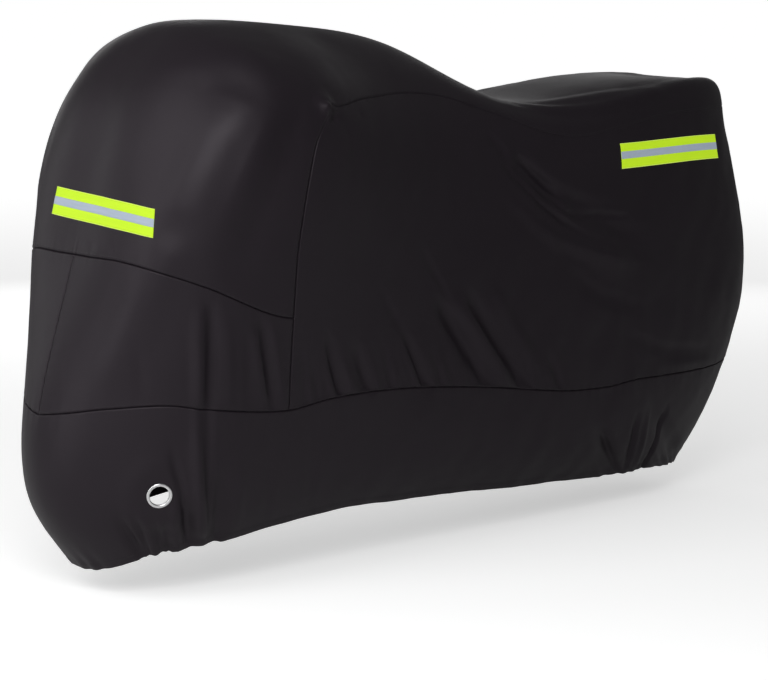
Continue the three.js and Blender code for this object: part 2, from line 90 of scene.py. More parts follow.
# Broad folds in millimetres: rib and line of both ends, half breadth and rise
folds = [
    (2.34, 2.5, 1.5, 3.9, 76, 13),  # cheek ridge
    (1.62, 3.7, 0.7, 5, 76, 7),  # cheek ridge, lower
    (2.75, 2.9, 2.1, 4.3, 110, -3),  # hollow behind the cheek
    (2.6, 1.76, 4.2, 1.2, 90, -3),  # crown hollow
    (1.84, 4.25, 1.85, 5.05, 26, 5),  # front panel
    (1.96, 4.2, 2, 5.1, 24, -6),
    (2.48, 4.35, 2.71, 5.05, 28, -6),
    (2.42, 4.4, 2.58, 5.05, 24, 4),
    (3.3, 4.5, 3.57, 5.1, 26, -5),  # gathers low on the side
    (3.68, 4.6, 3.97, 5.1, 26, -5),
    (4.3, 4.55, 4.7, 5.1, 30, -5),
    (4.66, 4.25, 5.4, 5.1, 40, -8),  # long pulls
    (4.85, 4.2, 5.6, 5.05, 40, 6),
    (5.05, 4.22, 5.87, 5.12, 38, -7),
    (5.68, 3.0, 6.3, 3.62, 44, -9),  # sag in front of the tail
    (6.2, 3.55, 7.3, 3.98, 48, -9),
    (5.6, 3.35, 7.2, 4.22, 70, 9),
    (6.3, 2.75, 8.3, 2.5, 50, -6),
    (6.1, 1.15, 7.9, 2.02, 40, 6),  # edge of the tail
    (7.3, 1.92, 9.3, 1.56, 40, 6),
    (1.84, 5.05, 1.94, 6.8, 46, 9),  # skirt
    (0.94, 5.95, 1.06, 6.85, 24, -6),
    (1.72, 5.6, 1.74, 6.9, 24, -6),
    (2.12, 5.5, 2.14, 7, 26, -7),
    (6.65, 5.5, 7.2, 7, 40, -8),
    (7.25, 5.25, 8.5, 7, 44, -8),
    (-2.34, 2.5, -1.5, 3.9, 80, 11),  # right-hand side
    (-2.75, 2.9, -2.1, 4.3, 110, -4),
    (-2.1, 4.25, -2.05, 5.1, 26, -6),
    (-3.2, 4.5, -3.5, 5.1, 28, -5),
    (-4.1, 4.6, -4.5, 5.1, 28, -5),
    (-4.7, 4.2, -5.6, 5.1, 42, -8),
    (-5.9, 3.1, -6.5, 3.75, 46, -9),
    (-6.4, 3.7, -7.6, 4.0, 48, -8),
    (-5.8, 3.5, -7.4, 4.3, 70, 8),
    (-6.1, 1.15, -7.9, 2.02, 40, 6),
    (-7.3, 1.92, -9.3, 1.56, 40, 6),
    (-1.8, 5.6, -1.85, 6.9, 26, -6),
    (-2.5, 5.4, -2.6, 7, 30, -6),
    (-6.9, 5.5, -7.4, 7, 42, -8),
]
# Places pushed out from below or drawn in, in millimetres: rib, line, radius and rise
bumps = [
    (3.22, 2.8, 46, 9),  # side points, where the cover is widest
    (3.18, 2.82, 18, 9),
    (3.31, 2.91, 20, -9),
    (3.77, 2.81, 16, -2.5),
    (-3.22, 2.8, 44, 9),
    (-3.32, 2.9, 19, -7),
    (2.3, 2.15, 120, 9),  # brow over the cheeks
    (-2.3, 2.15, 120, 8),
]
# Narrow pulls and creases in millimetres: rib and line along them, half breadth, rise and lean, which
# makes one flank steeper than the other
creases = [
    (((2.76, 2.0), (2.5, 2.8), (2.3, 3.3), (2.04, 3.7), (1.72, 4.2)), 92, 17, 0),  # cheek
    (((1.5, 2.2), (1.32, 2.77), (1.16, 3.2), (0.92, 3.6), (0.6, 4.05)), 118, -10, 0),  # front
    (((3.3, 2.8), (3.5, 3.0), (3.62, 3.35)), 26, -2.5, 0.2),  # below the side point
    (((4.5, 3.9), (4.74, 4.16), (4.93, 4.42)), 20, -4, 0.2),
    (((4.0, 4.2), (4.2, 4.42), (4.36, 4.66)), 20, -3, 0.2),
    (((5.56, 3.06), (5.71, 3.25), (5.96, 3.51), (6.2, 3.68), (6.36, 3.76), (6.6, 3.86)), 15, -9.5, 0.35),
    (((6.1, 3.66), (6.52, 3.85), (6.78, 3.93), (7.3, 4.05)), 24, -6, 0.3),
    (((5.5, 3.36), (5.89, 3.71), (6.18, 3.87), (6.66, 4.01), (7.5, 4.16)), 30, 6, 0.3),
    (((5.74, 2.96), (5.91, 3.15), (6.12, 3.35), (6.26, 3.5)), 12, -6.5, 0.2),
    (((5.68, 3.06), (5.8, 3.14), (6.07, 3.42), (6.32, 3.58), (6.71, 3.63), (7.1, 3.66)), 13, 3, 0),
    (((5.96, 3.36), (6.26, 3.61), (6.38, 3.66), (6.66, 3.7)), 11, -6, 0.2),
    (((6.5, 3.67), (6.64, 3.67), (6.94, 3.7), (7.1, 3.71)), 10, -6.5, 0.3),
    (((5.7, 3.02), (6.0, 3.32), (6.41, 3.52), (7.0, 3.66)), 40, -7, 0.2),
    (
        ((5.9, 1.3), (6.11, 1.5), (6.31, 1.72), (6.63, 1.88), (6.98, 1.97), (7.76, 1.95), (8.5, 1.86)),
        26, 6, 0,
    ),
    (((5.5, 1.9), (6.07, 2.0), (6.87, 2.16), (7.37, 2.18), (8.3, 2.1)), 34, -5, 0.2),
    (((5.4, 2.62), (5.6, 2.92), (5.72, 3.3)), 26, -4, 0.2),
    (((6.2, 4.1), (6.7, 4.34), (7.4, 4.5)), 34, -4, 0.2),
    (((6.9, 4.62), (7.6, 4.84), (8.4, 4.92)), 26, -4, 0.2),
    (((7.42, 4.98), (7.96, 5.02), (8.66, 5.08)), 22, 4, 0),
    (((0.42, 3.96), (0.5, 3.99), (0.62, 3.98)), 7, 1.6, 0),  # puckers over the centre-front seam
    (((0.2, 3.93), (0.32, 3.98), (0.46, 4.0)), 7, -1.8, 0),
    (((0.66, 3.9), (0.74, 3.97), (0.8, 4.03)), 8, -1.6, 0),
    (((0.96, 6.1), (1.04, 6.5), (1.12, 7.2)), 13, -9, 0.2),  # front end of the skirt
    (((1.11, 5.98), (1.15, 6.4), (1.19, 7.3)), 13, -11, 0.3),
    (((1.31, 6.04), (1.34, 6.5), (1.34, 7.4)), 13, -10, 0.3),
    (((1.44, 6.1), (1.43, 6.6), (1.38, 7.3)), 11, -9, 0.2),
    (((1.55, 5.7), (1.55, 6.4), (1.53, 7.2)), 13, 5, 0),
    (((1.54, 5.3), (1.62, 5.66), (1.7, 6.1), (1.72, 7.3)), 15, -11, 0.3),
    (((1.79, 4.6), (1.81, 5.56), (1.83, 6.06), (1.85, 7.4)), 24, 7, -0.3),
    (((1.94, 4.6), (1.94, 5.5), (1.98, 6.0), (2.02, 7.4)), 22, -10, 0.2),
    (((2.06, 5.6), (2.08, 6.1), (2.06, 7.4)), 14, -8, 0.2),
    (((2.3, 5.3), (2.34, 6.0), (2.33, 6.9)), 20, 3, 0),
    (((2.62, 5.25), (2.7, 6.0), (2.72, 6.9)), 22, -3, 0.2),
    (((3.1, 5.2), (3.25, 5.9), (3.3, 6.7)), 24, -2.5, 0.2),
    (((6.76, 5.7), (6.88, 5.98), (7.06, 6.42), (7.35, 7.12)), 14, -11, 0.3),  # rear end of the skirt
    (((7.23, 5.46), (7.24, 5.8), (7.28, 6.24), (7.34, 6.94)), 15, -10, 0.3),
    (((7.69, 5.44), (7.67, 5.82), (7.64, 6.46), (7.59, 7.48)), 15, -10, 0.3),
    (((7.42, 5.42), (7.39, 5.78), (7.43, 6.28), (7.49, 7.08)), 14, 5, 0),
    (((-2.68, 2.1), (-2.42, 2.84), (-2.24, 3.3), (-2.02, 3.7), (-1.72, 4.2)), 90, 13, 0),  # right side
    (((-1.5, 2.2), (-1.32, 2.77), (-1.16, 3.2), (-0.92, 3.6), (-0.6, 4.05)), 118, -8, 0),
    (((-5.95, 3.1), (-6.3, 3.55), (-6.8, 3.85), (-7.5, 4.02)), 21, -6, 0.4),
    (((-5.8, 3.5), (-6.3, 3.86), (-7.2, 4.2)), 24, 5, 0.3),
    (((-5.9, 2.9), (-6.05, 3.06), (-6.2, 3.26)), 14, 3, 0),
    (((-1.2, 6.0), (-1.26, 6.4), (-1.28, 6.72)), 12, -4, 0.2),
    (((-1.75, 5.6), (-1.8, 6.2), (-1.84, 6.85)), 14, -5, 0.3),
    (((-2.5, 5.4), (-2.58, 6.2), (-2.6, 6.9)), 18, -4, 0.2),
    (((-6.9, 5.6), (-7.2, 6.3), (-7.4, 6.9)), 18, -5, 0.3),
]

# Gathers and pulls that run down into the skirt seam, which pins them flat; columns as above
gathers = [
    (((1.78, 4.3), (1.82, 4.7), (1.84, 5.2)), 20, 3.5, 0.2),  # front panel
    (((1.96, 4.24), (1.985, 4.65), (1.99, 5.25)), 19, -5, 0.3),
    (((2.13, 4.3), (2.16, 4.7), (2.17, 5.2)), 19, 3, 0),
    (((2.34, 4.5), (2.37, 4.75), (2.38, 5.15)), 16, -2, 0),
    (((2.5, 4.36), (2.6, 4.7), (2.72, 5.25)), 20, -5, 0.3),
    (((2.64, 4.45), (2.72, 4.8), (2.8, 5.2)), 18, 4, 0),
    (((1.1, 4.5), (1.2, 4.75), (1.24, 5.15)), 25, -2.5, 0),
    (((2.96, 4.56), (3.04, 4.82), (3.12, 5.2)), 18, -4, 0.3),  # low on the side
    (((3.09, 4.68), (3.17, 4.88), (3.27, 5.2)), 16, -3.5, -0.3),
    (((3.31, 4.48), (3.44, 4.82), (3.58, 5.22)), 18, -5, 0.3),
    (((3.5, 4.68), (3.6, 4.88), (3.74, 5.2)), 16, 3.5, 0),
    (((3.68, 4.58), (3.83, 4.86), (3.99, 5.22)), 18, -5, 0.3),
    (((4.05, 4.6), (4.14, 4.85), (4.25, 5.2)), 18, -4, -0.2),
    (((4.2, 4.46), (4.4, 4.8), (4.56, 5.2)), 20, 4, 0),
    (((4.3, 4.5), (4.5, 4.82), (4.76, 5.22)), 20, -6.5, 0.3),
    (((4.68, 4.24), (5.03, 4.63), (5.47, 5.25)), 26, -8, 0.35),  # long pulls
    (((4.9, 4.26), (5.22, 4.62), (5.7, 5.22)), 25, 5.5, 0.2),
    (((5.04, 4.2), (5.44, 4.65), (5.96, 5.26)), 26, -8, 0.35),
    (((5.3, 4.16), (5.66, 4.6), (6.14, 5.2)), 28, 4.5, 0),
    (((5.98, 4.72), (6.12, 4.95), (6.27, 5.25)), 20, -4, 0.2),
    (((-2.5, 4.38), (-2.62, 4.75), (-2.74, 5.22)), 19, -5, 0.3),  # right-hand side
    (((-3.2, 4.5), (-3.36, 4.8), (-3.52, 5.22)), 19, -5, 0.3),
    (((-3.8, 4.56), (-4.0, 4.84), (-4.18, 5.22)), 19, -5, 0.2),
    (((-4.4, 4.5), (-4.6, 4.82), (-4.84, 5.22)), 20, -5, 0.3),
    (((-4.75, 4.2), (-5.2, 4.66), (-5.7, 5.24)), 26, -8, 0.3),
    (((-5.2, 4.3), (-5.6, 4.66), (-6.05, 5.2)), 25, -5, 0.2),
]

rib_net = []
for heading, spine, crown, *places in ribs:
    turn = math.radians(heading)
    out, up = np.array([(0, crown), *places]).T / 1000
    row = [spine / 1000 - SPINE_ORIGIN - out * math.cos(turn), -out * math.sin(turn), up - GROUND]
    row = np.stack(row, axis=-1)
    rib_net.append(np.vstack([2 * row[0] - row[1], row, 2 * row[-1] - row[-2]]))
over_the_middle = np.array([1, -1, 1])
rib_net = np.array([rib_net[1] * over_the_middle, *rib_net, rib_net[-2] * over_the_middle])


def ramp(x, start, reach):
    """From 0 at the start to 1 one reach further on; a reach below 0 runs the other way."""
    return np.clip((x - start) / reach, 0, 1)


def ease(x):
    return x * x * (3 - 2 * x)


def bell(away, reach):
    """1 on a line, falling softly to 0 at the reach."""
    return np.cos(np.minimum(away / reach, 1) * math.pi / 2) ** 2


def swell(away, breadth):
    """Round swell that is 1 in its middle and fades out on both sides."""
    return np.exp(-((away / breadth) ** 2))


def length_of(vectors):
    return np.linalg.norm(vectors, axis=-1)


def side_of(rib):
    return np.where(rib < 0, -1, 1)


def wrap_rib(rib):
    return np.where(rib > TAIL, rib - 2 * TAIL, np.where(rib < -TAIL, rib + 2 * TAIL, rib))


def spline_shares(t):
    return (
        (1 - t) ** 3 / 6,
        (3 * t**3 - 6 * t**2 + 4) / 6,
        (-3 * t**3 + 3 * t**2 + 3 * t + 1) / 6,
        t**3 / 6,
    )


def bare_form(rib, line):
    """Smooth form that the cloth hangs on; ribs below 0 are on the right-hand side."""
    rib, line = np.broadcast_arrays(wrap_rib(np.asarray(rib, float)), np.asarray(line, float))
    across = np.clip(np.floor(np.abs(rib)).astype(int), 0, TAIL - 1)
    down = np.clip(np.floor(line).astype(int), 0, HEM_LINE - 1)
    points = np.zeros(rib.shape + (3,))
    down_shares = spline_shares(line - down)
    for i, wide in enumerate(spline_shares(np.abs(rib) - across)):
        for j, high in enumerate(down_shares):
            points += (wide * high)[..., None] * rib_net[across + i, down + j]
    points[..., 1] *= side_of(rib)
    return points


UPWARDS = np.array([0.0, 0.0, 1.0])
NO_LENGTH = 1e-9                    # the crown's poles have no width, so there the way out is upwards


def directions(surface, rib, line, step=0.004):
    """Step to the next rib, step to the next line, and the way out of the cloth."""
    top = np.maximum(line - step, 0)
    to_rib = (surface(rib + step, line) - surface(rib - step, line)) / (2 * step)
    to_line = (surface(rib, line + step) - surface(rib, top)) / (line + step - top)[..., None]
    out = np.cross(to_line, to_rib)
    size = length_of(out)[..., None]
    return to_rib, to_line, np.where(size < NO_LENGTH, UPWARDS, out / np.maximum(size, NO_LENGTH))


def follow(rows, x):
    """Smooth curve through the rows of a short table."""
    at, value = np.array(rows, float).T
    slope = np.empty_like(value)
    slope[1:-1] = (value[2:] - value[:-2]) / (at[2:] - at[:-2])
    slope[0] = (value[1] - value[0]) / (at[1] - at[0])
    slope[-1] = (value[-1] - value[-2]) / (at[-1] - at[-2])
    k = np.clip(np.searchsorted(at, x, side="right") - 1, 0, len(at) - 2)
    span = at[k + 1] - at[k]
    t = np.clip((x - at[k]) / span, 0, 1)
    change = value[k + 1] - value[k]
    bend = span * t * (1 - t) * ((1 - t) * slope[k] - t * slope[k + 1])
    return value[k] + change * t + bend + change * t * (1 - t) * (2 * t - 1)


def share_along(here, run):
    """How far along a run a place lies, 0 at its start and 1 at its end."""
    return (here[0] * run[0] + here[1] * run[1]) / (run[0] ** 2 + run[1] ** 2)


def fold_rise(rib, line, to_rib, to_line):
    """Rise of the broad folds and the bumps."""
    per_rib, per_line = length_of(to_rib), length_of(to_line)

    def distance_from(from_rib, from_line):
        return length_of((rib - from_rib)[..., None] * to_rib + (line - from_line)[..., None] * to_line)

    rise = np.zeros(rib.shape)
    for rib_a, line_a, rib_b, line_b, width, height in folds:
        run = (rib_b - rib_a) * per_rib, (line_b - line_a) * per_line
        part = share_along(((rib - rib_a) * per_rib, (line - line_a) * per_line), run)
        away = distance_from(rib_a + (rib_b - rib_a) * part, line_a + (line_b - line_a) * part)
        part = np.clip(part, 0, 1)
        taper = np.sin(part * math.pi) ** 0.6 * ease(ramp(np.minimum(part, 1 - part), 0, 0.2))
        rise += height / 1000 * bell(away * 1000, width) * taper
    for bump_rib, bump_line, radius, height in bumps:
        rise += height / 1000 * bell(distance_from(bump_rib, bump_line) * 1000, radius)
    return rise


def crease_rise(paths, rib, line, to_rib, to_line):
    """Rise of narrow creases or gathers, each laid along its path."""
    per_rib, per_line = length_of(to_rib), length_of(to_line)
    rise = np.zeros(rib.shape)
    for path, width, height, lean in paths:
        nearest = np.full(rib.shape, 9.0)
        along = np.zeros(rib.shape)
        side = np.ones(rib.shape)
        for k, ((rib_a, line_a), (rib_b, line_b)) in enumerate(zip(path, path[1:])):
            run = (rib_b - rib_a) * per_rib, (line_b - line_a) * per_line
            here = (rib - rib_a) * per_rib, (line - line_a) * per_line
            part = np.clip(share_along(here, run), 0, 1)
            away = np.hypot(here[0] - part * run[0], here[1] - part * run[1])
            closer = away < nearest
            nearest = np.where(closer, away, nearest)
            along = np.where(closer, (k + part) / (len(path) - 1), along)
            side = np.where(closer, np.sign(run[0] * here[1] - run[1] * here[0]), side)
        taper = np.sin(np.clip(along, 0, 1) * math.pi) ** 1.1
        rise += height / 1000 * bell(nearest * 1000, width * (1 + lean * side)) * taper
    return rise


# The flat round each eyelet, as the ring keeps the cloth from folding
EYELET_RIB, EYELET_LINE = 1.4, 5.83
HOLE_RADIUS = 0.0235
SMOOTH_RADIUS = 0.034               # no crease or seam relief closer to the eyelet's middle
FLAT_RADIUS = 0.048                 # no fold closer
FOLDED_RADIUS = 0.100               # folds are whole from here on
eyelet_spots = []
SIDES = ((1, "left"), (-1, "right"))
for hand, _ in SIDES:
    spot = np.array(hand * EYELET_RIB), np.array(EYELET_LINE)
    eyelet_spots.append((bare_form(*spot), directions(bare_form, *spot)[2]))


def draped(rib, line):
    """The cloth on the form, with its broad folds."""
    to_rib, to_line, out = directions(bare_form, rib, line)
    rise = fold_rise(wrap_rib(rib), line, to_rib, to_line) * (line > 0)
    points = bare_form(rib, line) + rise[..., None] * out
    for centre, eyelet_out in eyelet_spots:
        offset = points - centre
        flat = ease(ramp(length_of(offset), FOLDED_RADIUS, FLAT_RADIUS - FOLDED_RADIUS))
        points = points - (flat * (offset @ eyelet_out))[..., None] * eyelet_out
    return points


# Lengths along the ribs and down the lines, by which the pattern is measured
measure_ribs, measure_lines = np.linspace(0, TAIL, 401), np.linspace(0, HEM_LINE, 141)
measured = bare_form(measure_ribs[:, None], measure_lines[None, :])
down_lengths, rib_lengths = np.zeros((2, *measured.shape[:2]))
down_lengths[:, 1:] = np.cumsum(length_of(np.diff(measured, axis=1)), axis=1)
rib_lengths[1:] = np.cumsum(length_of(np.diff(measured, axis=0)), axis=0)


def read_off(lengths, rib, line):
    x = np.clip(np.abs(rib) / TAIL, 0, 1) * (len(measure_ribs) - 1)
    y = np.clip(line / HEM_LINE, 0, 1) * (len(measure_lines) - 1)
    i = np.minimum(x.astype(int), len(measure_ribs) - 2)
    j = np.minimum(y.astype(int), len(measure_lines) - 2)
    x, y = x - i, y - j
    near = lengths[i, j] * (1 - x) + lengths[i + 1, j] * x
    far = lengths[i, j + 1] * (1 - x) + lengths[i + 1, j + 1] * x
    return near * (1 - y) + far * y


def round_and_down(rib, line):
    """Metres round the cover from the nose, below 0 on the right, and metres down from the crown."""
    return read_off(rib_lengths, rib, line) * side_of(rib), read_off(down_lengths, rib, line)


# The pattern: column is the rib before the side seam leans, and row counts the bands from the crown
# down (0 crown, 1 shoulder seam, 2 front seam, 3 skirt seam, 4 hem)
band_edges = [[(0, 0), (TAIL, 0)], shoulder_seam, front_seam, skirt_seam, hem_edge]


def on_pattern(column, row):
    distance = np.abs(column)
    edges = np.array([follow(edge, distance) for edge in band_edges])
    band = np.clip(np.floor(row).astype(int), 0, 3)
    upper = np.take_along_axis(edges, band[None], axis=0)[0]
    lower = np.take_along_axis(edges, band[None] + 1, axis=0)[0]
    line = upper + (lower - upper) * (row - band)
    share = np.where(distance < SIDE_RIB, distance / SIDE_RIB, (TAIL - distance) / (TAIL - SIDE_RIB))
    rib = distance + (follow(side_seam, line) - SIDE_RIB) * share
    return np.where(column < 0, -rib, rib), line, edges


def waver(x, seed):
    """Uneven ripple between about -1 and 1 along a seam, x in metres."""
    waves = np.random.default_rng(seed)
    total = np.zeros(np.shape(x))
    for wave in waves.uniform(0.011, 0.034, 7):
        total += np.sin(2 * math.pi * (x / wave + waves.random())) / 3.2
    return total


def crumple(points, seed, smallest, largest):
    """Soft random unevenness of the cloth between about -1 and 1."""
    waves = np.random.default_rng(seed)
    total = np.zeros(points.shape[:-1])
    for _ in range(30):
        heading = waves.normal(size=3)
        heading /= length_of(heading) * waves.uniform(smallest, largest)
        total += np.sin(2 * math.pi * (points @ heading + waves.random()))
    return total / 6


def soft_cloth(rib, line):
    """The cloth away from its seams: place, rise of creases and crumple, and way out."""
    points, out = draped(rib, line), directions(draped, rib, line)[2]
    rise = crease_rise(creases, rib, line, *directions(bare_form, rib, line)[:2])
    behind_point = ramp(np.abs(rib), 3, 2.5) * ramp(line, 2.4, 0.8)
    slack = (0.35 + 0.65 * behind_point) * ramp(line, 0.3, 1.2)
    rise += 0.0016 * slack * crumple(points, 3, 0.09, 0.26)
    rise += 0.00035 * slack * crumple(points, 5, 0.03, 0.08)
    return points, rise, out


ALLOWANCE_STITCH = 0.0065           # topstitching from the seam
HEM_STITCH = 0.019                  # and up from the hem's edge
SEAM_END = 0.006                    # a seam fades in over this length where another crosses it
SIDE_BLEND = 0.008                  # and over this one at the side seam
POINT_BLEND = 0.16                  # the side seam starts flat below the side point
PINNED = 0.014                      # the skirt seam holds gathers flat over this height


def seam_rise(away, arc, seed, breadth=0.0027, felled=0.0004):
    """Relief beside a seam: away is the distance from it, above 0 on the side of the allowances."""
    groove = -0.0026 * swell(away, np.where(away > 0, breadth, 0.0013))
    allowances = felled * ramp(away, 0.0095, -0.003) * ramp(away, 0, 0.002)
    stitched = -0.0004 * swell(away - ALLOWANCE_STITCH, 0.0013)
    puckers = 0.0007 * waver(arc, seed) * np.exp(-np.abs(away) / 0.016)
    return groove + allowances + stitched + puckers


def finished_cloth(column, row):
    """Outer face of a panel at a place on the pattern, with seams, puckers and creases."""
    column, row = np.broadcast_arrays(np.asarray(column, float), np.asarray(row, float))
    rib, line, edges = on_pattern(column, row)
    points, rise, out = soft_cloth(rib, line)
    to_rib, to_line, _ = directions(bare_form, rib, line)
    per_rib, per_line = length_of(to_rib), length_of(to_line)
    arc, drop = round_and_down(rib, line)
    distance = np.abs(column)
    from_side = (distance - SIDE_RIB) * per_rib
    from_back = (TAIL - distance) * per_rib * side_of(rib)
    _, above_shoulder, above_front, above_skirt, above_hem = (edges - line) * per_line

    # Level seams: the shoulder seam, which lies flatter at the rear, the front and the skirt seam
    flatter = np.clip((6.7 - distance) / 1.1, 0.35, 1)
    rise += ramp(from_side, -SIDE_BLEND, SIDE_BLEND) * seam_rise(above_shoulder, arc, 11) * flatter
    rise += ramp(-from_side, -SIDE_BLEND, SIDE_BLEND) * seam_rise(above_front, arc, 12)
    rise += seam_rise(above_skirt, arc, 13)

    # Upright seams: down both sides, the nose and the back
    over_skirt = ramp(above_skirt, 0, SEAM_END)
    side_relief = seam_rise(-from_side, drop, 14, breadth=0.0045, felled=0.0002)
    rise += ramp(-above_shoulder, 0, POINT_BLEND) * over_skirt * side_relief
    rise += ramp(-above_front, 0, SEAM_END) * over_skirt * seam_rise(rib * per_rib, drop, 15)
    rise += ramp(-above_shoulder, 0, SEAM_END) * seam_rise(from_back, drop, 16)

    # Gathers into the skirt seam, the placed ones and a random fine row that fades upwards
    pinned = ramp(above_skirt, 0, PINNED)
    placed = crease_rise(gathers, rib, line, to_rib, to_line)
    full = ramp(distance, 2.2, 1.2) * ramp(distance, 6.6, -1.0)
    fine = waver((np.abs(arc) + above_skirt * 0.42) * 0.4, 18) * swell(above_skirt, 0.085) * full
    rise += pinned * (2 - pinned) * (placed + 0.0026 * fine) * (line < edges[3])

    # The turned hem and its stitching, drawn in at both ends
    rise += 0.0007 * ramp(above_hem, 0.022, -0.003) - 0.0004 * swell(above_hem - HEM_STITCH, 0.0015)
    both_ends = ramp(distance, 2.4, -1.0) + ramp(distance, 6.5, 1.2)
    rise += 0.0014 * waver(arc * 0.45, 17) * swell(above_hem, 0.05) * both_ends
    for centre, _ in eyelet_spots:
        rise *= ramp(length_of(points - centre), SMOOTH_RADIUS, 0.02)
    return points + rise[..., None] * out, np.stack([arc, drop], axis=-1)


# Where columns and rows of the net run: closer together beside the seams
SPACING = 0.0070
beside_a_seam = np.array([SEAM_GAP / 2, 0.0012, 0.0024, 0.0038, 0.0052, 0.0068, 0.0086, 0.011])


def spread(start, stop, metres):
    """Places from start to stop along a stretch that is so many metres long."""
    edge = beside_a_seam / metres
    steps = max(int(round((metres - 2 * beside_a_seam[-1]) / SPACING)), 2)
    middle = np.linspace(edge[-1], 1 - edge[-1], steps + 1)
    return start + (stop - start) * np.concatenate([edge[:-1], middle, 1 - edge[-2::-1]])


def even_columns(start, stop):
    """Columns at even distances, measured round the flank."""
    fine = np.linspace(start, stop, 300)
    metres = sum(read_off(rib_lengths, fine, np.full(300, height)) for height in (3.2, 5.2)) / 2
    shares = spread(0, 1, metres[-1] - metres[0])
    return np.interp(metres[0] + shares * (metres[-1] - metres[0]), metres, fine)


def band_rows(band):
    columns = np.linspace(0, TAIL, 60)
    _, _, edges = on_pattern(columns, np.full(60, band + 0.5))
    drop = read_off(down_lengths, columns, edges[band + 1]) - read_off(down_lengths, columns, edges[band])
    return spread(band, band + 1, float(np.median(drop)))


front_columns = even_columns(0, SIDE_RIB)
side_columns = even_columns(SIDE_RIB, TAIL)
left_columns = np.concatenate([front_columns, side_columns])
all_round = np.concatenate([[-TAIL], -left_columns[::-1], left_columns, [TAIL]])


def on_side(columns, hand):
    return columns if hand > 0 else -columns[::-1]


def feed(tree, node, feeds):
    """Gives a node its inputs: a socket is linked, and anything else is the input's own value."""
    for name, value in feeds.items():
        if isinstance(value, bpy.types.NodeSocket):
            tree.links.new(value, node.inputs[name])
        else:
            node.inputs[name].default_value = value


def add_node(tree, kind, feeds=None, **settings):
    """Outputs of a new node with these settings and inputs."""
    node = tree.nodes.new(kind)
    for name, value in settings.items():
        setattr(node, name, value)
    feed(tree, node, feeds or {})
    return node.outputs


def new_group(name, kind, sockets):
    """Node group with sockets given as label, way and type, and its entry and result."""
    group = bpy.data.node_groups.new(name, kind)
    for label, way, holds in sockets:
        group.interface.new_socket(label, in_out=way, socket_type=f"NodeSocket{holds}")
    return group, add_node(group, "NodeGroupInput"), group.nodes.new("NodeGroupOutput")


def new_finish(name):
    """Material with its node tree."""
    finish = bpy.data.materials.new(name)
    finish.use_nodes = True
    return finish, finish.node_tree


def with_looks(finish, looks):
    feed(finish.node_tree, finish.node_tree.nodes["Principled BSDF"], looks)
    return finish


def worked_out(tree, operation, *values):
    return add_node(tree, "ShaderNodeMath", dict(enumerate(values)), operation=operation)[0]


def over_piece(tree):
    return add_node(tree, "ShaderNodeTexCoord")["Object"]


def over_flat_cloth(tree):
    return add_node(tree, "ShaderNodeUVMap", uv_map="cut")["UV"]


def noise(tree, place, scale, detail=2, distortion=0, kind="FBM"):
    feeds = {"Vector": place, "Scale": scale, "Detail": detail, "Distortion": distortion}
    return add_node(tree, "ShaderNodeTexNoise", feeds, noise_type=kind)["Fac"]


def between(tree, factor, low, high):
    """Value that runs from low to high as the factor runs from 0 to 1."""
    return add_node(tree, "ShaderNodeMapRange", {"Value": factor, "To Min": low, "To Max": high})["Result"]


def tint_between(tree, factor, first, second):
    """Colour that runs from the first to the second as the factor runs from 0 to 1."""
    tint = add_node(tree, "ShaderNodeValToRGB", {"Fac": factor})["Color"]
    for stop, colour in zip(tint.node.color_ramp.elements, (first, second)):
        stop.color = (*colour, 1)
    return tint


# Painted glow: the part's own colour shines as well as reflects, though it is no lamp, so that it looks
# brighter than the lamps make it
def painted_glow(tint, strength):
    return {"Base Color": tint, "Emission Color": tint, "Emission Strength": strength}


def relief(tree, height, distance, strength, **under):
    """Normal of a fine relief, which may lie on another."""
    feeds = {"Height": height, "Distance": distance, "Strength": strength, **under}
    return add_node(tree, "ShaderNodeBump", feeds)["Normal"]


def weave_group():
    """Plain weave: threads cross over and under in turn."""
    sockets = [("Place", "INPUT", "Vector"), ("Threads per metre", "INPUT", "Float")]
    sockets += [("Height", "OUTPUT", "Float")]
    group, entry, result = new_group("plain_weave", "ShaderNodeTree", sockets)
    turns = worked_out(group, "MULTIPLY", entry["Threads per metre"], math.pi)
    grown = {0: entry["Place"], "Scale": turns}
    scaled = add_node(group, "ShaderNodeVectorMath", grown, operation="SCALE")["Vector"]
    axes = add_node(group, "ShaderNodeSeparateXYZ", {0: scaled})
    warp, weft = (worked_out(group, "SINE", axes[axis]) for axis in "XY")
    feed(group, result, {"Height": worked_out(group, "MULTIPLY", warp, weft)})
    return group


def coated_polyester():
    """Black polyester weave with a soft coated sheen, crumpled a little all over."""
    cloth, tree = new_finish("black_coated_polyester")
    threads = {"Place": over_flat_cloth(tree), "Threads per metre": 2400}
    weave = add_node(tree, "ShaderNodeGroup", threads, node_tree=plain_weave)["Height"]
    place = over_piece(tree)
    cloudy = noise(tree, place, 5, detail=4)
    wrinkles = noise(tree, place, 17, detail=3, distortion=0.8, kind="RIDGED_MULTIFRACTAL")
    wrinkled = relief(tree, wrinkles, 0.0004, 0.35)
    looks = {
        "Specular IOR Level": 0.26,
        "Specular Tint": (1, 0.93, 1, 1),
        "Base Color": tint_between(tree, cloudy, (0.0118, 0.0088, 0.0119), (0.0142, 0.0108, 0.0143)),
        "Roughness": between(tree, cloudy, 0.43, 0.50),
        "Normal": relief(tree, weave, 0.00008, 0.3, Normal=wrinkled),
    }
    return with_looks(cloth, looks)


plain_weave = weave_group()
cloth_material = coated_polyester()


def new_object(name, data):
    made = bpy.data.objects.new(name, data)
    bpy.context.collection.objects.link(made)
    return made


